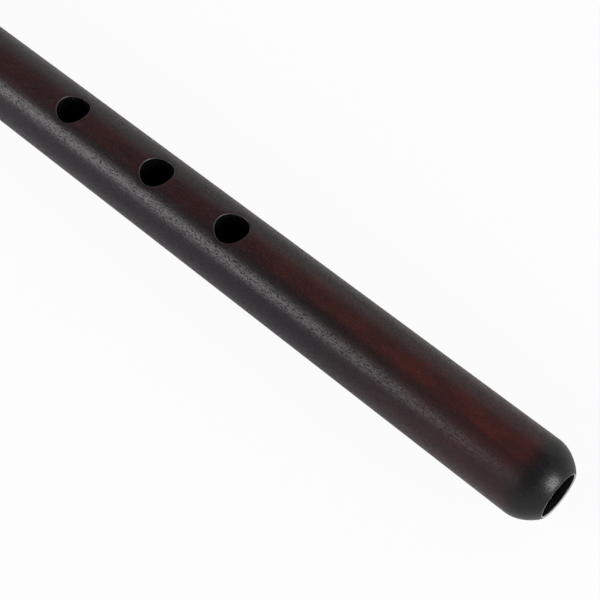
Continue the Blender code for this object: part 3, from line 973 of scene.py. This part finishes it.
class DudukBodyLook(bpy.types.PropertyGroup):
    """Sizes and colours of the turned body."""

    hole_edge: length_property("Hole edge", "Radius of the round on each hole's edge", 0.45 * MM)
    hole_dish: length_property("Hole dish", "Depth rubbed off round each hole", 0.06 * MM)
    hole_dish_width: length_property("Dish width", "Width of the rubbed ring", 0.9 * MM)
    roughness: number_property("Roughness", "Roughness of the oiled wood", 0.31)
    dark: colour_property("Dark", "Darkest stain", (0.005, 0.0022, 0.0032))
    brown: colour_property("Brown", "Lighter stain", (0.014, 0.0050, 0.0050))
    red: colour_property("Red", "Red heartwood on top", (0.040, 0.0080, 0.0075))
    fleck: colour_property("Fleck", "Ripples across the red", (0.150, 0.024, 0.014))
    # The pore colour also paints shade on the walls inside the holes
    pore: colour_property("Pore", "Open pores, and the walls of the holes", (0.002, 0.0018, 0.002))
    # Painted reflection along the near side of the pipe
    near_side_reflection: colour_property("Plum", "Stain on the near side", (0.0100, 0.0040, 0.0105))
    # Painted light along the far side of the pipe
    tan: colour_property("Tan", "Stain on the far side", (0.030, 0.0150, 0.0125))
    ink: colour_property("Ink", "Black stain on the rounded foot", (0.0022, 0.0026, 0.0036))
    # Painted highlight on the worn rounded rim of each hole
    rim: colour_property("Rim", "Worn edge of a finger hole", (0.075, 0.070, 0.085))
    # Painted highlight round the edge of the foot's mouth
    mouth: colour_property("Mouth", "Bare edge of the foot's mouth", (0.480, 0.480, 0.500))


class DudukReedLook(bpy.types.PropertyGroup):
    """Colours of the cane reed."""

    pale: colour_property("Pale", "Scraped cane", (0.560, 0.350, 0.140))
    deep: colour_property("Deep", "Darker fibres", (0.330, 0.170, 0.055))
    line: colour_property("Line", "Dark fibre ends", (0.120, 0.055, 0.020))
    bark: colour_property("Bark", "Bark round the base", (0.480, 0.270, 0.070))


class DudukBridleLook(bpy.types.PropertyGroup):
    """Colours of the bridle's slats and of the threads."""

    pale: colour_property("Pale", "Bent cane", (0.400, 0.220, 0.080))
    deep: colour_property("Deep", "Darker fibres", (0.240, 0.110, 0.035))
    line: colour_property("Line", "Dark fibre ends", (0.090, 0.040, 0.015))
    thread: colour_property("Thread", "Waxed thread", (0.330, 0.050, 0.040))
    thread_deep: colour_property("Thread hollows", "Hollows of the thread", (0.120, 0.016, 0.014))


class DudukCapLook(bpy.types.PropertyGroup):
    """Colours of the wooden cap."""

    pale: colour_property("Pale", "Lighter wood", (0.270, 0.120, 0.050))
    deep: colour_property("Deep", "Darker wood", (0.130, 0.048, 0.020))
    line: colour_property("Line", "Pores", (0.045, 0.016, 0.008))


class DudukStageLook(bpy.types.PropertyGroup):
    """Light and backdrop."""

    key_power: number_property("Key power", "Power of the long soft box, in watts", 9.0)
    fill_power: number_property("Fill power", "Power of the box behind the holes, in watts", 1.0)
    foot_power: number_property("Foot power", "Power of the box before the foot, in watts", 8.0)
    surround: number_property("Surround", "Brightness of the studio near its floor", 0.70)
    overhead: number_property("Overhead", "Brightness of the studio overhead", 0.25)


class DudukLook(bpy.types.PropertyGroup):
    """All that a user would change."""

    body: PointerProperty(type=DudukBodyLook)
    reed: PointerProperty(type=DudukReedLook)
    bridle: PointerProperty(type=DudukBridleLook)
    cap: PointerProperty(type=DudukCapLook)
    stage: PointerProperty(type=DudukStageLook)


class DUDUK_OT_body(bpy.types.Operator):
    """Builds the turned body"""

    bl_idname = "duduk.body"
    bl_label = "Body"

    def execute(self, context):
        look = context.scene.duduk_look.body
        data = build_pipe(look)
        smooth(data)
        add_piece("turned_body", data, dark_wood_material(look), "pipe", ["body"])
        return {"FINISHED"}


class DUDUK_OT_reed(bpy.types.Operator):
    """Builds the cane reed and the thread on its base"""

    bl_idname = "duduk.reed"
    bl_label = "Reed"

    def execute(self, context):
        looks = context.scene.duduk_look
        data = build_reed()
        smooth(data)
        add_piece("cane_reed", data, reed_material(looks.reed), "reed", ["reed"])
        thread = build_thread("wound_thread", winding_points(), WINDING_THREAD)
        smooth(thread)
        waxed = thread_material(looks.bridle)
        add_piece("wound_thread", thread, waxed, "reed", ["reed_winding"])
        return {"FINISHED"}


class DUDUK_OT_bridle(bpy.types.Operator):
    """Builds the bridle's two slats and their ties"""

    bl_idname = "duduk.bridle"
    bl_label = "Bridle"

    def execute(self, context):
        look = context.scene.duduk_look.bridle
        cane = grained_material("bent cane", look, **BENT_CANE)[0]
        for name, side in (("bridle_upper_slat", 1), ("bridle_lower_slat", -1)):
            data = build_slat(name, side)
            smooth(data)
            piece = add_piece("cane_" + name, data, cane, "bridle", [name])
            round_edges(piece, SLAT_EDGE)
        waxed = thread_material(look)
        for name in ("bridle_tie_left", "bridle_tie_right"):
            thread = build_thread("wound_" + name, tie_points(name), TIE_THREAD)
            smooth(thread)
            add_piece("wound_" + name, thread, waxed, "bridle", [name])
        return {"FINISHED"}


class DUDUK_OT_cap(bpy.types.Operator):
    """Finishes the slotted cap"""

    bl_idname = "duduk.cap"
    bl_label = "Cap"

    def execute(self, context):
        look = context.scene.duduk_look.cap
        dress("reed_cap", grained_material("oiled cap wood", look, **CAP_WOOD)[0])
        return {"FINISHED"}


def view_axes():
    """The photograph's right, up and backward directions, and the camera's place, in the frame."""
    along = Vector((1.0, 0.0, 0.0))
    across = Vector((0.0, math.cos(VIEW_ROLL), math.sin(VIEW_ROLL)))
    towards = Vector((0.0, -math.sin(VIEW_ROLL), math.cos(VIEW_ROLL)))
    seen_along = along * math.cos(VIEW_TILT) - towards * math.sin(VIEW_TILT)
    backward = along * math.sin(VIEW_TILT) + towards * math.cos(VIEW_TILT)
    right = seen_along * math.cos(PIPE_SLOPE) + across * math.sin(PIPE_SLOPE)
    up = across * math.cos(PIPE_SLOPE) - seen_along * math.sin(PIPE_SLOPE)
    place = Vector(VIEW_TARGET) + backward * (VIEW_DISTANCE / math.cos(VIEW_TILT))
    return right, up, backward, place


def make_camera():
    right, up, backward, place = view_axes()
    data = bpy.data.cameras.new("camera")
    data.sensor_width = SENSOR_MM
    data.lens = SENSOR_MM * FOCAL_PIXELS / FRAME_PIXELS
    camera = bpy.data.objects.new("camera", data)
    bpy.context.scene.collection.objects.link(camera)
    turn = Matrix((right, up, backward)).transposed().to_4x4()
    camera.matrix_world = Matrix.Translation(place) @ turn
    bpy.context.scene.camera = camera


def soft_box(name, box, power):
    """A rectangular lamp that the camera doesn't see."""
    place, target, size = box
    data = bpy.data.lights.new(name, "AREA")
    data.shape = "RECTANGLE"
    data.size, data.size_y = size
    data.energy = power
    lamp = bpy.data.objects.new(name, data)
    bpy.context.scene.collection.objects.link(lamp)
    lamp.location = place
    lamp.rotation_euler = (Vector(target) - Vector(place)).to_track_quat("-Z", "Y").to_euler()
    lamp.visible_camera = False


def make_floor():
    """A white floor that the camera sees as nearly even white, with a faint shadow under the duduk."""
    data = bpy.data.meshes.new("floor")
    mesh = bmesh.new()
    bmesh.ops.create_grid(mesh, x_segments=1, y_segments=1, size=FLOOR_HALF_SIZE)
    mesh.to_mesh(data)
    mesh.free()
    floor = bpy.data.objects.new("floor", data)
    bpy.context.scene.collection.objects.link(floor)
    made, tree, shader = new_material("white sweep")
    shader.inputs["Base Color"].default_value = rgba(FLOOR_COLOUR)
    shader.inputs["Roughness"].default_value = FLOOR_ROUGHNESS
    shader.inputs["Specular IOR Level"].default_value = FLOOR_GLOSS
    glow = node(tree, "ShaderNodeEmission")
    glow.inputs["Strength"].default_value = 1.0
    path = node(tree, "ShaderNodeLightPath")
    mix = node(tree, "ShaderNodeMixShader")
    tree.links.new(times(tree, path.outputs["Is Camera Ray"], FLOOR_GLOW), mix.inputs[0])
    tree.links.new(shader.outputs[0], mix.inputs[1])
    tree.links.new(glow.outputs[0], mix.inputs[2])
    tree.links.new(mix.outputs[0], tree.nodes["Material Output"].inputs["Surface"])
    data.materials.append(made)


def make_world(look):
    """A room that is white to the camera, and dimmer overhead than near its floor to all else."""
    world = bpy.data.worlds.new("studio")
    bpy.context.scene.world = world
    world.use_nodes = True
    tree = world.node_tree
    background = tree.nodes["Background"]
    background.inputs["Color"].default_value = rgba(WHITE)
    path = node(tree, "ShaderNodeLightPath")
    parts = node(tree, "ShaderNodeSeparateXYZ")
    tree.links.new(node(tree, "ShaderNodeTexCoord").outputs["Generated"], parts.inputs[0])
    room = map_range(tree, parts.outputs["Z"], *ROOM_HEIGHTS, look.surround, look.overhead)
    strength = map_range(tree, path.outputs["Is Camera Ray"], 0.0, 1.0, room, 1.0, smooth=False)
    tree.links.new(strength, background.inputs["Strength"])


class DUDUK_OT_stage(bpy.types.Operator):
    """Builds the camera, the lamps, the floor and the backdrop"""

    bl_idname = "duduk.stage"
    bl_label = "Stage"

    def execute(self, context):
        look = context.scene.duduk_look.stage
        make_camera()
        make_floor()
        make_world(look)
        soft_box("key box", KEY_BOX, look.key_power)
        soft_box("fill box", FILL_BOX, look.fill_power)
        soft_box("foot box", FOOT_BOX, look.foot_power)
        return {"FINISHED"}


class DUDUK_PT_sidebar(bpy.types.Panel):
    """Lists the duduk's pieces and their sizes"""

    bl_idname = "DUDUK_PT_sidebar"
    bl_label = "Duduk"
    bl_space_type = "VIEW_3D"
    bl_region_type = "UI"
    bl_category = "Duduk"

    def draw(self, context):
        look = context.scene.duduk_look
        pieces = (
            (DUDUK_OT_body, look.body),
            (DUDUK_OT_reed, look.reed),
            (DUDUK_OT_bridle, look.bridle),
            (DUDUK_OT_cap, look.cap),
            (DUDUK_OT_stage, look.stage),
        )
        for operator, settings in pieces:
            box = self.layout.box()
            box.operator(operator.bl_idname)
            for name in settings.__annotations__:
                box.prop(settings, name)


CLASSES = (
    DudukBodyLook,
    DudukReedLook,
    DudukBridleLook,
    DudukCapLook,
    DudukStageLook,
    DudukLook,
    DUDUK_OT_body,
    DUDUK_OT_reed,
    DUDUK_OT_bridle,
    DUDUK_OT_cap,
    DUDUK_OT_stage,
    DUDUK_PT_sidebar,
)


def register():
    for each in CLASSES:
        bpy.utils.register_class(each)
    bpy.types.Scene.duduk_look = PointerProperty(type=DudukLook)


def unregister():
    del bpy.types.Scene.duduk_look
    for each in reversed(CLASSES):
        bpy.utils.unregister_class(each)


def main():
    register()
    bpy.context.scene.view_settings.view_transform = "Standard"
    bpy.ops.duduk.stage()
    bpy.ops.duduk.body()
    bpy.ops.duduk.reed()
    bpy.ops.duduk.bridle()
    bpy.ops.duduk.cap()


if __name__ == "__main__":
    main()
